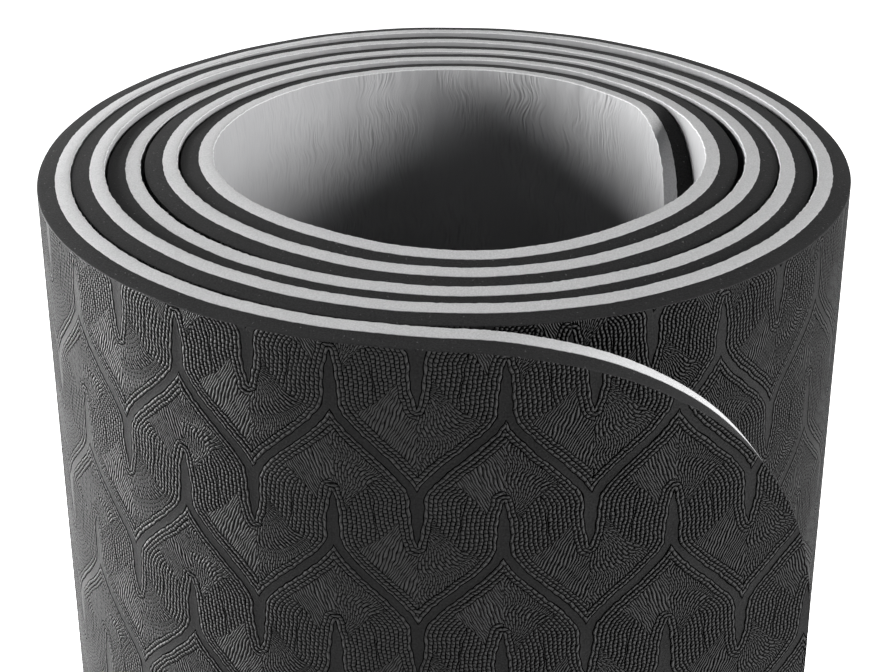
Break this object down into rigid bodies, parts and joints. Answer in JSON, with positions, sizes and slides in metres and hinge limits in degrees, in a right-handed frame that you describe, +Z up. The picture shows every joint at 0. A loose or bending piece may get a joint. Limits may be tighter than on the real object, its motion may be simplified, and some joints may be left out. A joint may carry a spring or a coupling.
{
  "type": "yoga mat",
  "caption": "Rolled foam exercise mat standing on end, black embossed face outside and light grey face inside, with a free end that peels away from the roll.",
  "frame": {"origin": "on the floor, under the middle of the roll's bounding box", "axes": "+Z up along the axis of the roll, -Y towards the side where the free end lies, +X to the right seen from there"},
  "size_m": [0.1508, 0.1538, 0.61],
  "materials": {
    "black_foam": "closed-cell foam, matt, embossed with a fine traditional ogee pattern",
    "grey_foam": "closed-cell foam, matt, nearly smooth"
  },
  "bodies": {
    "roll": {"black_layer_roll": "black_foam", "grey_layer_roll": "grey_foam"},
    "free_end_panel_1": {"black_layer_panel_1": "black_foam", "grey_layer_panel_1": "grey_foam"},
    "free_end_panel_2": {"black_layer_panel_2": "black_foam", "grey_layer_panel_2": "grey_foam"},
    "free_end_panel_3": {"black_layer_panel_3": "black_foam", "grey_layer_panel_3": "grey_foam"},
    "free_end_panel_4": {"black_layer_panel_4": "black_foam", "grey_layer_panel_4": "grey_foam"}
  },
  "joints": [
    {"name": "free_end_bend_1", "type": "hinge", "parent": "roll", "child": "free_end_panel_1", "pos_m": [-0.06644, 0.03703, 0.305], "axis": [0, 0, -1], "range_deg": [0, 40], "stiffness_Nm_per_rad": 0.06},
    {"name": "free_end_bend_2", "type": "hinge", "parent": "free_end_panel_1", "child": "free_end_panel_2", "pos_m": [-0.07295, -0.01778, 0.305], "axis": [0, 0, -1], "range_deg": [0, 40], "stiffness_Nm_per_rad": 0.06},
    {"name": "free_end_bend_3", "type": "hinge", "parent": "free_end_panel_2", "child": "free_end_panel_3", "pos_m": [-0.04061, -0.0625, 0.305], "axis": [0, 0, -1], "range_deg": [0, 40], "stiffness_Nm_per_rad": 0.06},
    {"name": "free_end_bend_4", "type": "hinge", "parent": "free_end_panel_3", "child": "free_end_panel_4", "pos_m": [0.01265, -0.07685, 0.305], "axis": [0, 0, -1], "range_deg": [0, 40], "stiffness_Nm_per_rad": 0.06}
  ],
  "couplings": [
    {"joint": "free_end_bend_2", "follows": "free_end_bend_1", "ratio": 1},
    {"joint": "free_end_bend_3", "follows": "free_end_bend_1", "ratio": 1},
    {"joint": "free_end_bend_4", "follows": "free_end_bend_1", "ratio": 1}
  ]
}
